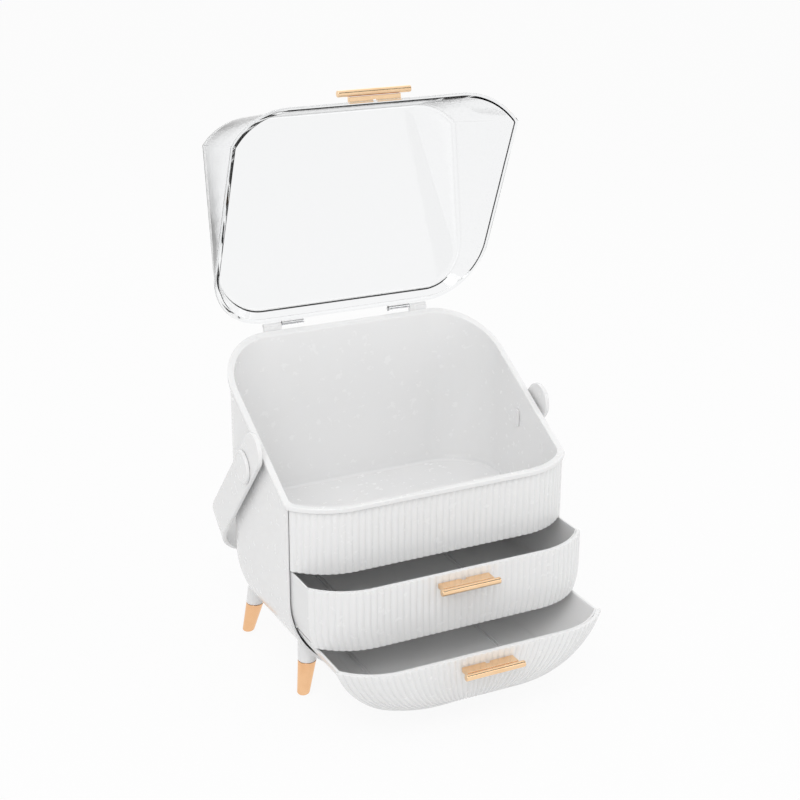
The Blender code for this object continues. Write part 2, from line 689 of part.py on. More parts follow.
def main():
    """Build the organizer and stand it over the origin."""
    clear_scene()
    white = make_material("white_plastic", (0.86, 0.86, 0.87), 0.28)
    clear = make_material("clear_plastic", (0.95, 0.96, 0.97), 0.05, transmission=0.9)
    gold = make_material("gold_metal", (0.90, 0.62, 0.36), 0.18, metallic=1.0)
    steel = make_material("steel", (0.62, 0.62, 0.63), 0.3, metallic=1.0)

    root = Frame("organizer")
    hinge = (0.0, HINGE_Y, HINGE_Z)
    pivot = (0.0, PIVOT_Y, PIVOT_Z)
    lid_frame = Frame("lid_frame", root, hinge, turn=-LID_OPEN)
    strap_frame = Frame("strap_frame", root, pivot, turn=-STRAP_SWING)
    upper_frame = Frame("upper_drawer_frame", root, shift=(0.0, -UPPER_PULLED, 0.0))
    lower_frame = Frame("lower_drawer_frame", root, shift=(0.0, -LOWER_PULLED, 0.0))

    shell = make_shell(root, white)
    bin_tray = make_bin(root, white)
    make_fluted_skin("front_band", BAND_BOTTOM_HEIGHT, RIM_FRONT_HEIGHT - LIP_HEIGHT - FIT,
                     BAND_LEVELS, white, root)
    make_shelf(root, white)
    make_runners(root, white)
    make_legs(root, shell, white, gold, steel)

    finishes = (white, gold, steel)
    heights = (UPPER_FRONT_BOTTOM, UPPER_FRONT_TOP, UPPER_FLOOR_HEIGHT)
    make_drawer("upper", upper_frame, heights, UPPER_LEVELS, UPPER_PULL_HEIGHT, finishes)
    heights = (LOWER_FRONT_BOTTOM, LOWER_FRONT_TOP, LOWER_FLOOR_HEIGHT)
    make_drawer("lower", lower_frame, heights, LOWER_LEVELS, LOWER_PULL_HEIGHT, finishes)

    make_lid(lid_frame, clear)
    make_hinges(root, lid_frame, (white, clear, steel))
    back = -FRONT_SWELL - LIP_REACH + LID_FLANGE_WIDTH - FIT
    height = RIM_FRONT_HEIGHT + LID_PULL_RISE
    make_pull("lid", height, (LID_BAR_HALF, LID_PLATE_HALF), back, LID_PULL_REACH, gold, lid_frame)

    strap = make_strap(strap_frame, white)
    make_pivots(root, (shell, bin_tray, strap), (white, steel))

    bpy.context.view_layer.update()
    low, high = world_bounds()
    root.empty.location.y = -(low[1] + high[1]) / 2
    bpy.context.view_layer.update()


main()
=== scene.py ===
import json
import math

import bmesh
import bpy
from mathutils import Matrix, Vector


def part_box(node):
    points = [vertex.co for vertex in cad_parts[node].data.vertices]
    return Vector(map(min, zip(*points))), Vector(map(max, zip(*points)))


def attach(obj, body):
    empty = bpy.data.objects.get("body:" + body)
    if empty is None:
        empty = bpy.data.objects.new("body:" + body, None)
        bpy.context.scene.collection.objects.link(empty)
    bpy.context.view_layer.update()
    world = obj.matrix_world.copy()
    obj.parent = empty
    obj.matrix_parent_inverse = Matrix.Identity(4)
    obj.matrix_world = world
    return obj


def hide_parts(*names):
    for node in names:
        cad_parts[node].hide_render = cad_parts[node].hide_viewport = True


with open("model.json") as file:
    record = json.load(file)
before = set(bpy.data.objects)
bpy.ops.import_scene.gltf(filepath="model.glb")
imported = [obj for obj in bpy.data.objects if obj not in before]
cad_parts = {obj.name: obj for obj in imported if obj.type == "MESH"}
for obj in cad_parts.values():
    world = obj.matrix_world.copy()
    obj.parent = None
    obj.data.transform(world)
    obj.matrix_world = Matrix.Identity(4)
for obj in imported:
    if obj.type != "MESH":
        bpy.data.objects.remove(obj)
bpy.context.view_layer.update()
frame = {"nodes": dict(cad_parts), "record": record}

# Sizes of the shut box in metres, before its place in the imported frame
HALF_WIDTH = 0.138
REAR_DEPTH = 0.169
REAR_CORNER_RADIUS = 0.0535
FRONT_SWELL = 0.0275
FRONT_RADIUS = 0.067
WALL = 0.0018
FIT = 0.0003
RIM_FRONT_HEIGHT = 0.195
RIM_SLOPE = math.radians(29.66)
BIN_FLOOR_HEIGHT = 0.1338
BAND_BOTTOM_HEIGHT = 0.1322
UPPER_FRONT = (0.0746, 0.1312)
LOWER_FRONT = (0.0222, 0.0734)
CURVE_TOP = 0.1007
CURVE_HEIGHT = 0.0787
SIDE_TUCK = 0.075
FRONT_TUCK = 0.020
REAR_TUCK = 0.045
REAR_DRAFT = 0.003
CORNER_SHRINK = 0.4
LIP_REACH = 0.002
LIP_HEIGHT = 0.0045
BIN_WALL = 0.0015
BIN_FLOOR_THICKNESS = 0.0016
BIN_FILLET = 0.006
BIN_EDGE = 0.0011
BIN_LEVEL_BELOW_RIM = 0.012
LIP_BREAK = 0.0004
FLUTE_COUNT = 46
FLUTE_DEPTH = 0.0013
SKIN = 0.0022
FRONT_INSET = 0.0012
FRONT_SEAM = 0.0006
FRONT_EDGE = 0.0005
FRONT_EDGE_INSET = 0.0004
FLUTE_SHARE = 0.85
DRAWER_SIDE_GAP = 0.0012
BIN_SIDE_GAP = 0.0007
DRAWER_WALL = 0.0018
DRAWER_FLOOR = 0.0018
DRAWER_REAR = 0.146
DRAWER_CORNER_RADIUS = 0.045
DRAWER_TOP_STEP = 0.0004
DRAWER_FILLET = 0.0035
DRAWER_EDGE = 0.0005
DRAWER_EDGE_INSET = 0.0004
DRAWER_LEAST_RADIUS = 0.003
RIB_SPREAD = 0.0019
RIB_HALF = 0.0006
RIB_SINK = 0.0002
RIB_HEIGHT = 0.0011
RIB_FRONT_GAP = 0.008
RIB_REAR_GAP = 0.012
UPPER_FLOOR_HEIGHT = 0.0768
LOWER_FLOOR_HEIGHT = 0.0290
UPPER_PULLED = 0.0360
LOWER_PULLED = 0.0830
UPPER_PULL_HEIGHT = 0.1220
LOWER_PULL_HEIGHT = 0.0628
LID_PULL_HEIGHT = RIM_FRONT_HEIGHT + 0.0095
PULL_BAR_RADIUS = 0.0030
PULL_LEDGE_HALF = 0.0022
PULL_NOTCH_HALF = 0.0045 / 2
PULL_NOTCH_DEPTH = 0.0028
DRAWER_PULL_HALVES = (0.0288, 0.0250)
DRAWER_PULL_REACH = 0.0140
LID_PULL_HALVES = (0.0355, 0.0250)
LID_PULL_REACH = 0.0095
LEG_TIP_X = 0.1195
LEG_FRONT_Y = 0.0140
LEG_REAR_Y = 0.1470
LEG_SPLAY_X = 0.20
LEG_SPLAY_Y = 0.14
LEG_HEIGHT = 0.080
LEG_FOOT_RADIUS = 0.0058
LEG_TIP_RADIUS = 0.0085
LEG_TOP_RADIUS = 0.0140
LEG_TIP_HEIGHT = 0.031
LEG_SEARCH_START = 0.002
LEG_SEARCH_STEP = 0.0003
LEG_SINK = 0.0004
HINGE_Y = 0.1742
HINGE_ABOVE_RIM = 0.00476
HINGE_Z = RIM_FRONT_HEIGHT + REAR_DEPTH * math.tan(RIM_SLOPE) + HINGE_ABOVE_RIM
LID_OPEN = math.radians(98)
LID_TOP_ABOVE_HINGE = 0.0035
LID_TOP_HEIGHT = HINGE_Z + LID_TOP_ABOVE_HINGE
LID_TOP_RADIUS = 0.004
LID_FLANGE_ROLL = 0.0007
LID_SEAT = 0.0011
LID_WALL = 0.002
LID_INSET = 0.011
LID_FLANGE = 0.0026
LID_FLANGE_WIDTH = 0.0024
PIVOT_Y = 0.075
PIVOT_Z = 0.2035
STRAP_INNER_X = 0.1428
STRAP_THICKNESS = 0.004
STRAP_WIDTH = 0.034
STRAP_ARM = 0.100
STRAP_BEND = 0.066
STRAP_TAIL = 0.0285
STRAP_EDGE = 0.0011
STRAP_SWING = math.radians(138)
CAP_RADIUS = 0.0155
CAP_THICKNESS = 0.0030
CAP_EDGE = 0.0012
CAP_DISH_INSET = 0.0028
CAP_DISH_SLOPE = 0.0006
CAP_DISH_DEPTH = 0.0004
CAP_MIDDLE = 0.0008
STEM_RADIUS = 0.0042

# Fineness of the meshes
ARC_STEPS = 28
LINE_STEPS = 6
POINTS_PER_FLUTE = 10
ROUND_STEPS = 64
SHELL_LEVELS = 30
BAND_LEVELS = 4
UPPER_LEVELS = 14
LOWER_LEVELS = 26
BIN_FILLET_STEPS = 7
BIN_EDGE_STEPS = 4
DRAWER_FILLET_STEPS = 5
DRAWER_CORNER_STEPS = 10
FRONT_STEPS = 20
LID_EDGE_STEPS = 5
STRAP_TAIL_STEPS = 16
STRAP_BEND_STEPS = 36
STRAP_EDGE_TURNS = tuple(math.radians(turn) for turn in (0.0, 30.0, 60.0, 90.0))

# Eased edges that a modifier cuts: width and segments
SHELL_BEVEL = (0.0004, 2)
RIB_BEVEL = (0.0003, 2)
LEDGE_BEVEL = (0.0004, 3)

# The camera, from the fit to the photograph
CAMERA_PLACE = (-0.62726, -1.17590, 0.7621)
CAMERA_YAW = math.radians(26.918)
CAMERA_PITCH = math.radians(20.372)
CAMERA_ROLL = math.radians(0.3113)
CAMERA_LENS = 73.525

# Where the divider slots cross each drawer's floor
DIVIDER_SLOTS = (-0.0742, 0.0548)

SIDES = (("left", -1), ("right", 1))
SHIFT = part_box("body_shell")[0][1]


def turned(pivot, angle):
    """The matrix that turns the shut model's piece about an X axis through a point."""
    point = Vector(pivot)
    return Matrix.Translation(point) @ Matrix.Rotation(angle, 4, "X") @ Matrix.Translation(-point)


PLACE = Matrix.Translation((0.0, SHIFT, 0.0))
POSE = {
    "body": PLACE,
    "lid": PLACE @ turned((0.0, HINGE_Y, HINGE_Z), -LID_OPEN),
    "carry_handle": PLACE @ turned((0.0, PIVOT_Y, PIVOT_Z), -STRAP_SWING),
    "upper_drawer": PLACE @ Matrix.Translation((0.0, -UPPER_PULLED, 0.0)),
    "lower_drawer": PLACE @ Matrix.Translation((0.0, -LOWER_PULLED, 0.0)),
}


# Shapes

def tuck(z, reach):
    """How far a wall has come in at height z."""
    drop = min(1.0, max(0.0, CURVE_TOP - z) / CURVE_HEIGHT)
    return reach * (1 - math.sqrt(1 - drop * drop))


def rear_draft(z):
    """How far the back leans in below the front rim's height."""
    share = (RIM_FRONT_HEIGHT - z) / (RIM_FRONT_HEIGHT - CURVE_TOP)
    return REAR_DRAFT * min(1.0, max(0.0, share))


def rim_height(y):
    """Height of the rim's top: level round the front, sloping up along the sides."""
    return RIM_FRONT_HEIGHT + max(0.0, y) * math.tan(RIM_SLOPE)


def between(a, b, steps):
    """Points on a straight line after a, up to and with b."""
    return [(a[0] + (b[0] - a[0]) * step / steps, a[1] + (b[1] - a[1]) * step / steps)
            for step in range(1, steps + 1)]


def front_line(z, inset, side=None, corner=None, steps=ARC_STEPS):
    """The bowed front at height z, moved in by inset, from left to right."""
    radius = FRONT_RADIUS - inset
    centre_y = FRONT_RADIUS - FRONT_SWELL + tuck(z, FRONT_TUCK)
    half = HALF_WIDTH - tuck(z, SIDE_TUCK)
    centre_x = half - math.sqrt(FRONT_RADIUS ** 2 - centre_y ** 2)
    if corner is None:
        turn = math.asin((half - (inset if side is None else side) - centre_x) / radius)
    else:
        turn = math.acos((centre_y - corner) / radius)
    angles = [turn * (1 - step / steps) for step in range(steps + 1)]
    left = [(-centre_x - radius * math.sin(a), centre_y - radius * math.cos(a)) for a in angles]
    return left + [(-x, y) for x, y in reversed(left)]


def rear_line(half, rear, radius, front, steps=ARC_STEPS):
    """The back from the right side to the left side, with a rounded corner at each end."""
    angles = [math.pi / 2 * step / steps for step in range(steps + 1)]
    right = [(half - radius + radius * math.cos(a), rear - radius + radius * math.sin(a))
             for a in angles]
    right = between((half, front), right[0], LINE_STEPS)[:-1] + right
    middle = between(right[-1], (-right[-1][0], right[-1][1]), LINE_STEPS)[:-1]
    return right + middle + [(-x, y) for x, y in reversed(right)]


def shell_back(z, inset, front):
    """The shell's back at height z, from the right side to the left side, starting at front."""
    half = HALF_WIDTH - inset - tuck(z, SIDE_TUCK)
    rear = REAR_DEPTH - inset - rear_draft(z) - tuck(z, REAR_TUCK)
    radius = REAR_CORNER_RADIUS - inset - tuck(z, SIDE_TUCK) * CORNER_SHRINK
    return rear_line(half, rear, radius, front)


def outline(z, inset, side=None):
    """The plan outline at height z, bowed front and rounded back, moved in by inset."""
    line = front_line(z, inset, side)
    return line + shell_back(z, inset if side is None else side, line[-1][1])


def follow_rim(points, offset):
    """Points of an outline lifted to the rim, and moved up by offset."""
    return [(x, y, rim_height(y) + offset) for x, y in points]


def at_height(points, z):
    """Points of an outline on one level."""
    return [(x, y, z) for x, y in points]


def curve_levels(bottom, top, count):
    """Heights between bottom and top, closer together where the underside curves in."""
    def turn(z):
        drop = (CURVE_TOP - z) / CURVE_HEIGHT
        return math.asin(min(1.0, drop)) if drop > 0 else drop

    def height(angle):
        return CURVE_TOP - CURVE_HEIGHT * (math.sin(angle) if angle > 0 else angle)

    low, high = turn(bottom), turn(top)
    inner = [height(low + (high - low) * step / (count - 1)) for step in range(1, count - 1)]
    return [bottom] + inner + [top]


def place_along(points, share):
    """The point at a share of a line's length, with the direction out of the body there."""
    lengths = [math.dist(a, b) for a, b in zip(points, points[1:])]
    left = share * sum(lengths)
    last = len(lengths) - 1
    for index, length in enumerate(lengths):
        if left <= length or index == last:
            break
        left -= length
    a, b = points[index], points[index + 1]
    step = min(1.0, left / length)
    direction = ((b[0] - a[0]) / length, (b[1] - a[1]) / length)
    point = (a[0] + (b[0] - a[0]) * step, a[1] + (b[1] - a[1]) * step)
    return point, (direction[1], -direction[0])


# Making pieces

def finish_piece(name, shape, body, material, replaced, angle=38.0, bevel=None):
    """Turn a bmesh of the shut model into a piece that rides on a body."""
    bmesh.ops.remove_doubles(shape, verts=shape.verts, dist=1e-7)
    bmesh.ops.recalc_face_normals(shape, faces=shape.faces)
    mesh = bpy.data.meshes.new(name)
    shape.to_mesh(mesh)
    shape.free()
    mesh.transform(POSE[body])
    mesh.shade_smooth()
    mesh.set_sharp_from_angle(angle=math.radians(angle))
    mesh.materials.append(material)
    piece = bpy.data.objects.new(name, mesh)
    bpy.context.scene.collection.objects.link(piece)
    if bevel:
        width, segments = bevel
        modifier = piece.modifiers.new("edges", "BEVEL")
        modifier.width = width
        modifier.segments = segments
        modifier.limit_method = "ANGLE"
        modifier.angle_limit = math.radians(angle)
        modifier.harden_normals = True
    weighted = piece.modifiers.new("normals", "WEIGHTED_NORMAL")
    weighted.keep_sharp = True
    weighted.weight = 80
    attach(piece, body)
    if replaced:
        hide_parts(*replaced)
    return piece


def add_loft(shape, rings):
    """Add a solid through rings of equal length, capped at both ends."""
    loops = [[shape.verts.new(point) for point in ring] for ring in rings]
    for low, high in zip(loops, loops[1:]):
        for index, corner in enumerate(low):
            following = (index + 1) % len(low)
            shape.faces.new((corner, low[following], high[following], high[index]))
    shape.faces.new(list(reversed(loops[0])))
    shape.faces.new(loops[-1])


def loft(name, rings, body, material, replaced, angle=38.0, bevel=None):
    """A piece through rings of equal length."""
    shape = bmesh.new()
    add_loft(shape, rings)
    return finish_piece(name, shape, body, material, replaced, angle, bevel)


def circle(radius, steps=ROUND_STEPS):
    """Points round a circle, as pairs."""
    turns = [2 * math.pi * step / steps for step in range(steps)]
    return [(radius * math.cos(turn), radius * math.sin(turn)) for turn in turns]


def rod_along_x(profile, y, z, side=1):
    """Rings of a turned piece on an X axis; the profile lists (x, radius), side mirrors it."""
    return [[(side * x, y + u, z + v) for u, v in circle(radius)] for x, radius in profile]


def box_rings(low, high):
    """Two rings of a block between two corners."""
    return [[(low[0], low[1], z), (high[0], low[1], z), (high[0], high[1], z), (low[0], high[1], z)]
            for z in (low[2], high[2])]


# Materials

# The middle range of a noise texture's factor
RAMP_START = 0.3
RAMP_END = 0.7


def new_material(name):
    """A node material, with its tree, its shader and its object coordinates."""
    material = bpy.data.materials.new(name)
    material.use_nodes = True
    tree = material.node_tree
    shader = tree.nodes["Principled BSDF"]
    place = tree.nodes.new("ShaderNodeTexCoord").outputs["Object"]
    return material, tree, shader, place


def noise(tree, place, scale, detail=4.0, roughness=0.55, stretch=None):
    """A noise texture's factor, stretched along the axes when asked."""
    if stretch:
        mapping = tree.nodes.new("ShaderNodeMapping")
        mapping.inputs["Scale"].default_value = stretch
        tree.links.new(place, mapping.inputs["Vector"])
        place = mapping.outputs["Vector"]
    texture = tree.nodes.new("ShaderNodeTexNoise")
    texture.inputs["Scale"].default_value = scale
    texture.inputs["Detail"].default_value = detail
    texture.inputs["Roughness"].default_value = roughness
    tree.links.new(place, texture.inputs["Vector"])
    return texture.outputs["Fac"]


def ramp_value(tree, value, low, high):
    """Map a value's middle range to numbers between low and high."""
    node = tree.nodes.new("ShaderNodeMapRange")
    node.inputs["From Min"].default_value = RAMP_START
    node.inputs["From Max"].default_value = RAMP_END
    node.inputs["To Min"].default_value = low
    node.inputs["To Max"].default_value = high
    tree.links.new(value, node.inputs["Value"])
    return node.outputs["Result"]


def ramp_colour(tree, value, stops):
    """Map a value to colours; the stops list (position, colour)."""
    node = tree.nodes.new("ShaderNodeValToRGB")
    ramp = node.color_ramp
    while len(ramp.elements) < len(stops):
        ramp.elements.new(0.5)
    for element, (position, colour) in zip(ramp.elements, stops):
        element.position = position
        element.color = (*colour, 1.0)
    tree.links.new(value, node.inputs["Fac"])
    return node.outputs["Color"]


def add_bump(tree, shader, height, strength, distance):
    """Bump the surface by a height."""
    bump = tree.nodes.new("ShaderNodeBump")
    bump.inputs["Strength"].default_value = strength
    bump.inputs["Distance"].default_value = distance
    tree.links.new(height, bump.inputs["Height"])
    tree.links.new(bump.outputs["Normal"], shader.inputs["Normal"])


def white_plastic(name, light, dark, roughness, grain=0.05):
    """Glossy white moulded plastic: faint flow shade, fine surface ripple and gloss that varies."""
    material, tree, shader, place = new_material(name)
    flow = noise(tree, place, 6.0, 2.0)
    tree.links.new(ramp_colour(tree, flow, ((RAMP_START, dark), (RAMP_END, light))),
                   shader.inputs["Base Color"])
    gloss = noise(tree, place, 140.0, 4.0)
    tree.links.new(ramp_value(tree, gloss, roughness[0], roughness[1]), shader.inputs["Roughness"])
    add_bump(tree, shader, noise(tree, place, 1100.0, 3.0), grain, 0.0001)
    shader.inputs["IOR"].default_value = 1.5
    shader.inputs["Coat Weight"].default_value = 0.25
    shader.inputs["Coat Roughness"].default_value = 0.08
    shader.inputs["Subsurface Weight"].default_value = 0.06
    shader.inputs["Subsurface Scale"].default_value = 0.002
    shader.inputs["Subsurface Radius"].default_value = (1.0, 0.9, 0.8)
    return material


def clear_plastic(name, tint):
    """Clear moulded plastic with slight haze, a faint ripple and painted shade: its colour greys
    where the surface turns away, drawing dark edge lines.
    """
    material, tree, shader, place = new_material(name)
    # Painted shade: the colour darkens to grey at grazing angles, drawing dark lines along rims and
    # rounded edges.
    facing = tree.nodes.new("ShaderNodeLayerWeight")
    facing.inputs["Blend"].default_value = 0.5
    painted_edge_shade = tuple(0.80 * part for part in tint)
    stops = ((0.0, tint), (0.72, tint), (0.9, painted_edge_shade), (1.0, (0.30, 0.30, 0.31)))
    tree.links.new(ramp_colour(tree, facing.outputs["Facing"], stops), shader.inputs["Base Color"])
    shader.inputs["Transmission Weight"].default_value = 1.0
    shader.inputs["IOR"].default_value = 1.46
    haze = noise(tree, place, 25.0, 4.0)
    tree.links.new(ramp_value(tree, haze, 0.015, 0.05), shader.inputs["Roughness"])
    add_bump(tree, shader, noise(tree, place, 30.0, 2.0), 0.04, 0.0006)
    return material


def gold_metal(name, light, dark, roughness, stretch):
    """Polished gold plating with fine polishing lines."""
    material, tree, shader, place = new_material(name)
    tone = noise(tree, place, 40.0, 3.0)
    tree.links.new(ramp_colour(tree, tone, ((RAMP_START, dark), (RAMP_END, light))),
                   shader.inputs["Base Color"])
    shader.inputs["Metallic"].default_value = 1.0
    lines = noise(tree, place, 300.0, 4.0, 0.6, stretch)
    tree.links.new(ramp_value(tree, lines, roughness[0], roughness[1]), shader.inputs["Roughness"])
    add_bump(tree, shader, lines, 0.05, 0.0001)
    return material


def steel_metal(name):
    """Plain turned steel."""
    material, tree, shader, place = new_material(name)
    tone = noise(tree, place, 80.0, 4.0)
    stops = ((RAMP_START, (0.50, 0.50, 0.52)), (RAMP_END, (0.66, 0.66, 0.67)))
    tree.links.new(ramp_colour(tree, tone, stops), shader.inputs["Base Color"])
    shader.inputs["Metallic"].default_value = 1.0
    lines = noise(tree, place, 500.0, 3.0, 0.6, (1.0, 0.1, 0.1))
    tree.links.new(ramp_value(tree, lines, 0.22, 0.38), shader.inputs["Roughness"])
    add_bump(tree, shader, lines, 0.1, 0.0001)
    return material


WHITE = white_plastic("white_gloss", (0.86, 0.86, 0.86), (0.84, 0.84, 0.84), (0.24, 0.28))
# Drawer tubs: the same white plastic with a rougher satin gloss, its colour a little darker than
# the body's as painted shade for the recessed drawer insides.
SATIN_WHITE_PAINTED_SHADE = white_plastic("white_satin_painted_shade", (0.84, 0.84, 0.84), (0.81, 0.81, 0.81), (0.34, 0.42), 0.09)
CLEAR = clear_plastic("clear_lid_plastic", (0.935, 0.94, 0.945))
GOLD = gold_metal("gold_plate", (0.95, 0.70, 0.46), (0.88, 0.60, 0.36), (0.10, 0.20),
                  (0.08, 1.0, 1.0))
TIP_GOLD = gold_metal("gold_tip", (0.90, 0.56, 0.32), (0.82, 0.47, 0.25), (0.07, 0.15),
                      (1.0, 1.0, 0.08))
STEEL = steel_metal("steel_pin")

WHITE_SLOT = "white_body"
CLEAR_SLOT = "clear_lid"
GOLD_SLOT = "gold_trim"
STEEL_SLOT = "steel_fasteners"


# The body

def make_shell():
    """The sides, back and underside as one moulded wall, open at the front and on top."""
    levels = curve_levels(CURVE_TOP - CURVE_HEIGHT, CURVE_TOP, SHELL_LEVELS)
    levels.append((CURVE_TOP + RIM_FRONT_HEIGHT) / 2)

    def path(z, inset):
        back = shell_back(z, inset, 0.0)
        half = HALF_WIDTH - inset - tuck(z, SIDE_TUCK)
        return [(half, 0.0)] + back + [(-half, 0.0)]

    def side_rings(inset, rise):
        rings = [at_height(path(z, inset), z + rise) for z in levels]
        rings.append(follow_rim(path(RIM_FRONT_HEIGHT, inset), -LIP_HEIGHT - FIT))
        return rings

    shape = bmesh.new()
    outside, inside = [[[shape.verts.new(point) for point in ring] for ring in rings]
                       for rings in (side_rings(0.0, 0.0), side_rings(WALL, WALL))]
    for grid in (outside, inside):
        for low, high in zip(grid, grid[1:]):
            for index in range(len(low) - 1):
                shape.faces.new((low[index], low[index + 1], high[index + 1], high[index]))
        shape.faces.new(grid[0])
    for index in range(len(outside[-1]) - 1):
        shape.faces.new((outside[-1][index], outside[-1][index + 1],
                         inside[-1][index + 1], inside[-1][index]))
    for end in (0, -1):
        for row in range(len(outside) - 1):
            shape.faces.new((outside[row][end], outside[row + 1][end],
                             inside[row + 1][end], inside[row][end]))
    shape.faces.new((outside[0][0], outside[0][-1], inside[0][-1], inside[0][0]))
    finish_piece("shell_wall", shape, "body", WHITE, ("body_shell",), 40.0,
                 SHELL_BEVEL)


def make_bin():
    """The upper bin: rounded floor edge, thin walls and a rolled lip over shell and band."""
    outer = FRONT_INSET + SKIN + FIT
    outer_side = WALL + BIN_SIDE_GAP
    top = RIM_FRONT_HEIGHT

    def wall(extra):
        return outline(top, outer + extra, outer_side + extra)

    rings = []
    for step in range(BIN_FILLET_STEPS + 1):
        turn = math.pi / 2 * step / BIN_FILLET_STEPS
        extra = BIN_WALL + BIN_FILLET * (1 - math.sin(turn))
        level = BIN_FLOOR_HEIGHT + BIN_FILLET * (1 - math.cos(turn))
        rings.append(at_height(wall(extra), level))
    rings.append(follow_rim(wall(BIN_WALL), -BIN_LEVEL_BELOW_RIM))
    rings.append(follow_rim(wall(BIN_WALL), -BIN_EDGE))
    for step in range(1, BIN_EDGE_STEPS):
        turn = math.pi / 2 * step / BIN_EDGE_STEPS
        inward = BIN_WALL - BIN_EDGE * (1 - math.cos(turn))
        rings.append(follow_rim(wall(inward), -BIN_EDGE * (1 - math.sin(turn))))
    rings.append(follow_rim(wall(BIN_WALL - BIN_EDGE), 0.0))
    rings.append(follow_rim(outline(top, -LIP_REACH + BIN_EDGE), 0.0))
    for step in range(1, BIN_EDGE_STEPS + 1):
        turn = math.pi / 2 * step / BIN_EDGE_STEPS
        rings.append(follow_rim(outline(top, -LIP_REACH + BIN_EDGE * (1 - math.sin(turn))),
                                -BIN_EDGE * (1 - math.cos(turn))))
    rings.append(follow_rim(outline(top, -LIP_REACH), -LIP_HEIGHT + LIP_BREAK))
    rings.append(follow_rim(outline(top, -LIP_REACH + LIP_BREAK), -LIP_HEIGHT))
    rings.append(follow_rim(wall(0.0), -LIP_HEIGHT))
    rings.append(at_height(wall(0.0), BIN_FLOOR_HEIGHT + BIN_FILLET))
    rings.append(at_height(wall(BIN_FILLET), BIN_FLOOR_HEIGHT - BIN_FLOOR_THICKNESS))
    loft("bin_tub", rings, "body", WHITE, ("bin_tray",), 50.0)


def flute_rise(share):
    """The height of a flute's rounded rib across its pitch."""
    return FLUTE_DEPTH * FLUTE_SHARE * math.sin(math.pi * share)


def fluted_ring(z, inset):
    """One section of a fluted skin: out along the flutes and back along the smooth inside."""
    outside = front_line(z, FRONT_INSET, corner=-FRONT_SEAM, steps=FRONT_STEPS)
    behind = front_line(z - SKIN, FRONT_INSET + SKIN, corner=-FRONT_SEAM, steps=FRONT_STEPS)
    count = FLUTE_COUNT * POINTS_PER_FLUTE
    ring = []
    for index in range(count + 1):
        point, normal = place_along(outside, index / count)
        rise = flute_rise((index % POINTS_PER_FLUTE) / POINTS_PER_FLUTE) - inset
        ring.append((point[0] + normal[0] * rise, point[1] + normal[1] * rise, z))
    for index in range(2 * FLUTE_COUNT + 1):
        point = place_along(behind, 1 - index / (2 * FLUTE_COUNT))[0]
        ring.append((point[0], point[1], z))
    return ring


def make_fluted_skin(name, bottom, top, levels, body, node):
    """A fluted front between two heights, its top and bottom edges eased."""
    rings = [fluted_ring(bottom, FRONT_EDGE_INSET)]
    rings += [fluted_ring(z, 0.0)
              for z in curve_levels(bottom + FRONT_EDGE, top - FRONT_EDGE, levels)]
    rings.append(fluted_ring(top, FRONT_EDGE_INSET))
    loft(name, rings, body, WHITE, (node,), 55.0)


# Drawers

def drawer_outline(z, inset):
    """A drawer's plan at height z: behind the fluted skin in front, clear of the shell behind."""
    side = WALL + DRAWER_SIDE_GAP + inset
    level = z - side
    half = HALF_WIDTH - side - tuck(level, SIDE_TUCK)
    rear = DRAWER_REAR - inset - tuck(level, REAR_TUCK)
    line = front_line(level, FRONT_INSET + SKIN + FIT + inset, side)
    radius = max(DRAWER_LEAST_RADIUS, DRAWER_CORNER_RADIUS - inset)
    return line + rear_line(half, rear, radius, line[-1][1], DRAWER_CORNER_STEPS)


def make_tray(name, floor, top, levels, body, node):
    """A drawer's tub with an eased rim, a rounded floor edge and ribs for dividers."""
    inner_floor = floor + DRAWER_FLOOR
    edge = top - DRAWER_EDGE
    rings = [at_height(drawer_outline(z, 0.0), z) for z in curve_levels(floor, edge, levels)]
    rings.append(at_height(drawer_outline(top, DRAWER_EDGE_INSET), top))
    rings.append(at_height(drawer_outline(top, DRAWER_WALL - DRAWER_EDGE_INSET), top))
    inner = curve_levels(inner_floor + DRAWER_FILLET, edge, levels)
    rings += [at_height(drawer_outline(z, DRAWER_WALL), z) for z in reversed(inner)]
    for step in range(1, DRAWER_FILLET_STEPS + 1):
        turn = math.pi / 2 * step / DRAWER_FILLET_STEPS
        drop = DRAWER_FILLET * math.sin(turn)
        inset = DRAWER_WALL + DRAWER_FILLET * (1 - math.cos(turn))
        level = inner_floor + DRAWER_FILLET - drop
        rings.append(at_height(drawer_outline(inner_floor + DRAWER_FILLET, inset), level))
    loft(name, rings, body, SATIN_WHITE_PAINTED_SHADE, (node,), 40.0)
    back = DRAWER_REAR - tuck(inner_floor, REAR_TUCK) - RIB_REAR_GAP
    ribs = bmesh.new()
    for x in DIVIDER_SLOTS:
        for offset in (-RIB_SPREAD, RIB_SPREAD):
            front = front_at(inner_floor, x + offset) + RIB_FRONT_GAP
            add_loft(ribs, box_rings((x + offset - RIB_HALF, front, inner_floor - RIB_SINK),
                                     (x + offset + RIB_HALF, back, inner_floor + RIB_HEIGHT)))
    finish_piece(name + "_ribs", ribs, body, SATIN_WHITE_PAINTED_SHADE, (), 30.0, RIB_BEVEL)


def front_at(z, x):
    """Where the inside of a drawer's front lies at a distance x from the middle."""
    line = front_line(z - WALL - DRAWER_SIDE_GAP, FRONT_INSET + SKIN + FIT + DRAWER_WALL)
    for a, b in zip(line, line[1:]):
        if a[0] <= x <= b[0]:
            share = (x - a[0]) / max(1e-9, b[0] - a[0])
            return a[1] + (b[1] - a[1]) * share
    return line[0][1]


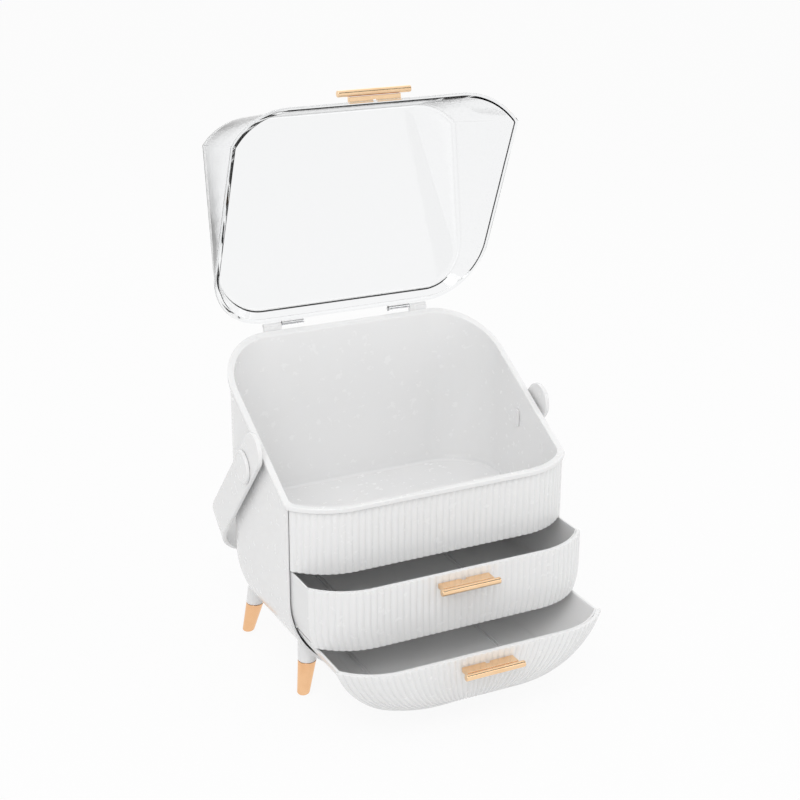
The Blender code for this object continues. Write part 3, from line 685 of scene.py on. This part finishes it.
def make_pull(prefix, height, halves, back, reach, body):
    """A bar with eased ends in front of a level ledge, which is notched at the face it meets."""
    bar_half, plate_half = halves
    radius = PULL_BAR_RADIUS
    bar_y = back - reach
    edge = 0.0006
    ends = [(-bar_half, radius - edge)]
    ends += [(-bar_half + edge * (1 - math.cos(a)), radius - edge + edge * math.sin(a))
             for a in (math.pi / 6, math.pi / 3, math.pi / 2)]
    profile = ends + [(-x, r) for x, r in reversed(ends)]
    loft(prefix + "_bar", rod_along_x(profile, bar_y, height), body, GOLD,
         (prefix + "_pull_bar",), 35.0)
    near = bar_y + radius + FIT
    notch, notch_y = PULL_NOTCH_HALF, back - PULL_NOTCH_DEPTH
    plan = [(-plate_half, near), (plate_half, near), (plate_half, back), (notch, back),
            (notch, notch_y), (-notch, notch_y), (-notch, back), (-plate_half, back)]
    rings = [at_height(plan, height + z) for z in (-PULL_LEDGE_HALF, PULL_LEDGE_HALF)]
    loft(prefix + "_ledge", rings, body, GOLD, (prefix + "_pull_plate",), 35.0,
         LEDGE_BEVEL)


def pull_back(height):
    """Where the back of a drawer's pull plate lies."""
    lean = tuck(height + PULL_LEDGE_HALF, FRONT_TUCK)
    return -FRONT_SWELL + FRONT_INSET - FLUTE_DEPTH - FIT + lean


# Legs

def inside_shell(x, y, z):
    """True where a point lies inside the shell's outside surface."""
    if z < CURVE_TOP - CURVE_HEIGHT:
        return False
    half = HALF_WIDTH - tuck(z, SIDE_TUCK)
    rear = REAR_DEPTH - rear_draft(z) - tuck(z, REAR_TUCK)
    return abs(x) <= half and y <= rear


def make_legs():
    """White cones that end on the rounded underside, and their metal tips."""
    for side_name, side in SIDES:
        for end_name, foot_y, end in (("front", LEG_FRONT_Y, -1), ("rear", LEG_REAR_Y, 1)):
            name = f"{end_name}_{side_name}"
            splay = (side * LEG_SPLAY_X, end * LEG_SPLAY_Y)

            def centre(z):
                return (side * LEG_TIP_X - splay[0] * z, foot_y - splay[1] * z)

            def ring(z, radius):
                x, y = centre(z)
                return [(x + u, y + v, z) for u, v in circle(radius)]

            foot = LEG_FOOT_RADIUS
            tip = [(0.0, foot - 0.0018), (0.0002, foot - 0.0012),
                   (0.0008, foot - 0.0005), (0.0018, foot)]
            tip += [(LEG_TIP_HEIGHT - 0.0004, LEG_TIP_RADIUS - 0.0001),
                    (LEG_TIP_HEIGHT, LEG_TIP_RADIUS - 0.0005)]
            loft("tip_" + name, [ring(z, r) for z, r in tip], "body", TIP_GOLD,
                 ("leg_tip_" + name,), 50.0)
            rings = [ring(LEG_TIP_HEIGHT + FIT, LEG_TIP_RADIUS - 0.0004),
                     ring(LEG_TIP_HEIGHT + 0.0008, LEG_TIP_RADIUS)]
            top = []
            for turn in [2 * math.pi * step / ROUND_STEPS for step in range(ROUND_STEPS)]:
                z = LEG_TIP_HEIGHT + LEG_SEARCH_START
                while z < LEG_HEIGHT:
                    radius = (LEG_TIP_RADIUS + (LEG_TOP_RADIUS - LEG_TIP_RADIUS)
                              * (z - LEG_TIP_HEIGHT) / (LEG_HEIGHT - LEG_TIP_HEIGHT))
                    x, y = centre(z)
                    point = (x + radius * math.cos(turn), y + radius * math.sin(turn), z)
                    if inside_shell(point[0], point[1], z - LEG_SINK):
                        break
                    z += LEG_SEARCH_STEP
                top.append(point)
            rings.append(top)
            loft("leg_cone_" + name, rings, "body", WHITE, ("leg_" + name,), 50.0)


# The lid

def make_lid():
    """The clear lid: a rolled flange on the rim, walls that lean in and a level top."""
    top = RIM_FRONT_HEIGHT
    flange = LID_FLANGE_WIDTH - LIP_REACH
    edge = LID_INSET - LIP_REACH
    radius = LID_TOP_RADIUS
    rings = [
        at_height(outline(top, edge + LID_WALL + radius), LID_TOP_HEIGHT - LID_WALL),
        at_height(outline(top, edge + LID_WALL + radius * 0.3),
                  LID_TOP_HEIGHT - LID_WALL - radius * 0.15),
        at_height(outline(top, edge + LID_WALL - 0.0004), LID_TOP_HEIGHT - LID_WALL - radius),
        follow_rim(outline(top, flange + LID_WALL), LID_SEAT + LID_FLANGE),
        follow_rim(outline(top, flange + LID_WALL), LID_SEAT),
    ]
    roll = LID_FLANGE_ROLL
    rings.append(follow_rim(outline(top, -LIP_REACH + roll), LID_SEAT))
    rings += [follow_rim(outline(top, -LIP_REACH + roll * (1 - math.sin(a))),
                         LID_SEAT + roll * (1 - math.cos(a)))
              for a in (math.pi / 4, math.pi / 2)]
    rings += [follow_rim(outline(top, -LIP_REACH + roll * (1 - math.cos(a))),
                         LID_SEAT + LID_FLANGE - roll * (1 - math.sin(a)))
              for a in (0.0, math.pi / 4, math.pi / 2)]
    rings.append(follow_rim(outline(top, flange), LID_SEAT + LID_FLANGE))
    for step in range(LID_EDGE_STEPS + 1):
        turn = math.pi / 2 * step / LID_EDGE_STEPS
        rings.append(at_height(outline(top, edge - 0.0004 + radius * (1 - math.cos(turn))),
                               LID_TOP_HEIGHT - radius * (1 - math.sin(turn))))
    loft("lid_cover", rings, "lid", CLEAR, ("lid_shell",), 40.0)


# The strap and its pivots

def make_strap():
    """The flat carry strap: eased edges, rounded tails, wide bends and a crossbar."""
    middle = STRAP_INNER_X + STRAP_THICKNESS / 2
    half = STRAP_WIDTH / 2
    sections = []
    for step in range(STRAP_TAIL_STEPS):
        turn = math.pi / 2 * (1 - (step + 1) / (STRAP_TAIL_STEPS + 1))
        sections.append((-middle, -STRAP_TAIL - half * math.sin(turn), math.pi,
                         half * math.cos(turn)))
    sections.append((-middle, -STRAP_TAIL, math.pi, half))
    for step in range(STRAP_BEND_STEPS + 1):
        turn = math.pi - math.pi / 2 * step / STRAP_BEND_STEPS
        x = -middle + STRAP_BEND + STRAP_BEND * math.cos(turn)
        sections.append((x, STRAP_ARM + STRAP_BEND * math.sin(turn), turn, half))
    sections += [(-x, z, math.pi - turn, width) for x, z, turn, width in reversed(sections)]
    rings = []
    for x, z, turn, width in sections:
        out = (math.cos(turn), math.sin(turn))
        ease = min(STRAP_EDGE, width * 0.5)
        points = []
        for sign_n, sign_w in ((-1, -1), (1, -1), (1, 1), (-1, 1)):
            corner = [(sign_n * (STRAP_THICKNESS / 2 - ease * (1 - math.cos(a))),
                       sign_w * (width - ease * (1 - math.sin(a)))) for a in STRAP_EDGE_TURNS]
            points += corner if sign_n == sign_w else corner[::-1]
        rings.append([(x + n * out[0], PIVOT_Y + w, PIVOT_Z + z + n * out[1]) for n, w in points])
    loft("strap_band", rings, "carry_handle", WHITE, ("carry_strap",), 45.0)


def make_pivots():
    """Round caps with an eased edge and a shallow dish, each on its stem."""
    strap_out = STRAP_INNER_X + STRAP_THICKNESS + FIT
    bin_inside = HALF_WIDTH - WALL - BIN_SIDE_GAP - BIN_WALL
    for name, side in SIDES:
        profile = [(bin_inside, STEM_RADIUS), (strap_out, STEM_RADIUS),
                   (strap_out, CAP_RADIUS - 0.0004), (strap_out + 0.0004, CAP_RADIUS)]
        top = strap_out + CAP_THICKNESS
        profile += [(top - CAP_EDGE * (1 - math.sin(a)), CAP_RADIUS - CAP_EDGE * (1 - math.cos(a)))
                    for a in (0.0, math.pi / 6, math.pi / 3, math.pi / 2)]
        profile += [(top, CAP_RADIUS - CAP_DISH_INSET),
                    (top - CAP_DISH_DEPTH, CAP_RADIUS - CAP_DISH_INSET - CAP_DISH_SLOPE),
                    (top - CAP_DISH_DEPTH, CAP_MIDDLE)]
        loft("cap_" + name, rod_along_x(profile, PIVOT_Y, PIVOT_Z, side), "body",
             WHITE, ("pivot_cap_" + name,), 30.0)


make_shell()
make_bin()
make_fluted_skin("band_fluted", BAND_BOTTOM_HEIGHT, RIM_FRONT_HEIGHT - LIP_HEIGHT - FIT,
                 BAND_LEVELS, "body", "front_band")
make_legs()
for key, (bottom, top), floor, levels, height in (
        ("upper", UPPER_FRONT, UPPER_FLOOR_HEIGHT, UPPER_LEVELS, UPPER_PULL_HEIGHT),
        ("lower", LOWER_FRONT, LOWER_FLOOR_HEIGHT, LOWER_LEVELS, LOWER_PULL_HEIGHT)):
    body = key + "_drawer"
    make_fluted_skin(key + "_fluted", bottom, top, levels, body, body + "_front")
    make_tray(key + "_tub", floor, top - DRAWER_TOP_STEP, levels, body, body + "_tray")
    make_pull(key, height, DRAWER_PULL_HALVES, pull_back(height), DRAWER_PULL_REACH, body)
make_lid()
make_pull("lid", LID_PULL_HEIGHT, LID_PULL_HALVES,
          -FRONT_SWELL - LIP_REACH + LID_FLANGE_WIDTH - FIT, LID_PULL_REACH, "lid")
make_strap()
make_pivots()

# Materials of the nodes that stay
FINISHES = {WHITE_SLOT: WHITE, CLEAR_SLOT: CLEAR, GOLD_SLOT: GOLD, STEEL_SLOT: STEEL}
for part in frame["record"]["subparts"]:
    node = frame["nodes"][part["node"]]
    if not node.hide_render:
        node.data.materials.clear()
        node.data.materials.append(FINISHES[part["material_slot"]])


# The camera

def aim_camera():
    """Place the camera where the photograph was taken from."""
    yaw, pitch, roll = CAMERA_YAW, CAMERA_PITCH, CAMERA_ROLL
    forward = Vector((math.sin(yaw) * math.cos(pitch), math.cos(yaw) * math.cos(pitch),
                      -math.sin(pitch)))
    right = Vector((math.cos(yaw), -math.sin(yaw), 0.0))
    up = right.cross(forward)
    turned_right = math.cos(roll) * right + math.sin(roll) * up
    turned_up = -math.sin(roll) * right + math.cos(roll) * up
    turn = Matrix((turned_right, turned_up, -forward)).transposed()
    data = bpy.data.cameras.new("photo_camera")
    data.lens = CAMERA_LENS
    data.sensor_width = 36.0
    data.clip_start = 0.05
    data.clip_end = 50.0
    camera = bpy.data.objects.new("photo_camera", data)
    place = Vector(CAMERA_PLACE) + Vector((0.0, SHIFT, 0.0))
    camera.matrix_world = Matrix.Translation(place) @ turn.to_4x4()
    bpy.context.scene.collection.objects.link(camera)
    bpy.context.scene.camera = camera


# Light and floor

def add_area(name, place, target, size, power):
    """A soft white lamp with a rectangular face, aimed at a point."""
    data = bpy.data.lights.new(name, "AREA")
    data.shape = "RECTANGLE"
    data.size, data.size_y = size
    data.energy = power
    lamp = bpy.data.objects.new(name, data)
    lamp.location = place
    lamp.rotation_euler = (Vector(target) - Vector(place)).to_track_quat("-Z", "Y").to_euler()
    bpy.context.scene.collection.objects.link(lamp)


def shown_rays(tree):
    """1 for rays from the camera and for what glossy or clear surfaces show."""
    rays = tree.nodes.new("ShaderNodeLightPath")
    total = rays.outputs["Is Camera Ray"]
    for kind in ("Is Glossy Ray", "Is Transmission Ray"):
        add = tree.nodes.new("ShaderNodeMath")
        add.operation = "MAXIMUM"
        tree.links.new(total, add.inputs[0])
        tree.links.new(rays.outputs[kind], add.inputs[1])
        total = add.outputs["Value"]
    return total


def make_world(level):
    """White behind the object, and plain soft light on it."""
    world = bpy.data.worlds.new("studio")
    bpy.context.scene.world = world
    world.use_nodes = True
    tree = world.node_tree
    plain = tree.nodes["Background"]
    plain.inputs["Color"].default_value = (level, level, level, 1.0)
    plain.inputs["Strength"].default_value = 1.0
    white = tree.nodes.new("ShaderNodeBackground")
    white.inputs["Color"].default_value = (1.0, 1.0, 1.0, 1.0)
    white.inputs["Strength"].default_value = 1.0
    mix = tree.nodes.new("ShaderNodeMixShader")
    tree.links.new(shown_rays(tree), mix.inputs["Fac"])
    tree.links.new(plain.outputs["Background"], mix.inputs[1])
    tree.links.new(white.outputs["Background"], mix.inputs[2])
    tree.links.new(mix.outputs["Shader"], tree.nodes["World Output"].inputs["Surface"])


def make_floor():
    """A pale floor that shows nearly white and keeps a soft shadow."""
    shape = bmesh.new()
    bmesh.ops.create_grid(shape, x_segments=8, y_segments=8, size=12.0)
    mesh = bpy.data.meshes.new("floor")
    shape.to_mesh(mesh)
    shape.free()
    floor = bpy.data.objects.new("floor", mesh)
    floor.location.z = -0.0004
    bpy.context.scene.collection.objects.link(floor)
    material = bpy.data.materials.new("pale_floor")
    material.use_nodes = True
    tree = material.node_tree
    shader = tree.nodes["Principled BSDF"]
    shader.inputs["Base Color"].default_value = (0.80, 0.80, 0.80, 1.0)
    shader.inputs["Roughness"].default_value = 0.9
    shader.inputs["Specular IOR Level"].default_value = 0.1
    glow = tree.nodes.new("ShaderNodeEmission")
    glow.inputs["Color"].default_value = (1.0, 1.0, 1.0, 1.0)
    glow.inputs["Strength"].default_value = 1.0
    mix = tree.nodes.new("ShaderNodeMixShader")
    share = tree.nodes.new("ShaderNodeMath")
    share.operation = "MULTIPLY"
    share.inputs[1].default_value = 0.92
    tree.links.new(shown_rays(tree), share.inputs[0])
    tree.links.new(share.outputs["Value"], mix.inputs["Fac"])
    tree.links.new(shader.outputs["BSDF"], mix.inputs[1])
    tree.links.new(glow.outputs["Emission"], mix.inputs[2])
    tree.links.new(mix.outputs["Shader"], tree.nodes["Material Output"].inputs["Surface"])
    mesh.materials.append(material)


def add_flag(name, place, target, size):
    """A dark card that only reflections show, so that the metal gets its dark lines."""
    shape = bmesh.new()
    bmesh.ops.create_grid(shape, x_segments=2, y_segments=2, size=0.5)
    bmesh.ops.scale(shape, vec=(size[0], size[1], 1.0), verts=shape.verts)
    mesh = bpy.data.meshes.new(name)
    shape.to_mesh(mesh)
    shape.free()
    material = bpy.data.materials.get("dark_card") or bpy.data.materials.new("dark_card")
    material.use_nodes = True
    shader = material.node_tree.nodes["Principled BSDF"]
    shader.inputs["Base Color"].default_value = (0.015, 0.015, 0.015, 1.0)
    shader.inputs["Roughness"].default_value = 1.0
    shader.inputs["Specular IOR Level"].default_value = 0.0
    mesh.materials.append(material)
    card = bpy.data.objects.new(name, mesh)
    card.location = place
    card.rotation_euler = (Vector(target) - Vector(place)).to_track_quat("-Z", "Y").to_euler()
    bpy.context.scene.collection.objects.link(card)
    card.visible_camera = False
    card.visible_diffuse = False
    card.visible_transmission = False
    card.visible_shadow = False


add_flag("card_right", (0.60, -0.68, 0.35), (0.0, -0.05, 0.1), (0.16, 1.0))
add_flag("card_left", (-0.95, 0.10, 0.35), (0.0, 0.0, 0.1), (0.20, 1.0))
add_flag("card_high", (0.40, -0.62, 1.05), (0.0, -0.1, 0.1), (1.6, 0.30))
aim_camera()
make_world(0.74)
make_floor()
add_area("key", (-0.9, -1.1, 1.6), (0.0, 0.0, 0.2), (1.4, 1.4), 13.0)
add_area("fill", (1.4, -0.9, 1.0), (0.0, 0.0, 0.2), (1.6, 1.6), 5.0)
add_area("back", (0.3, 1.3, 1.4), (0.0, 0.1, 0.3), (1.6, 1.0), 3.0)

bpy.context.scene.view_settings.view_transform = "Standard"
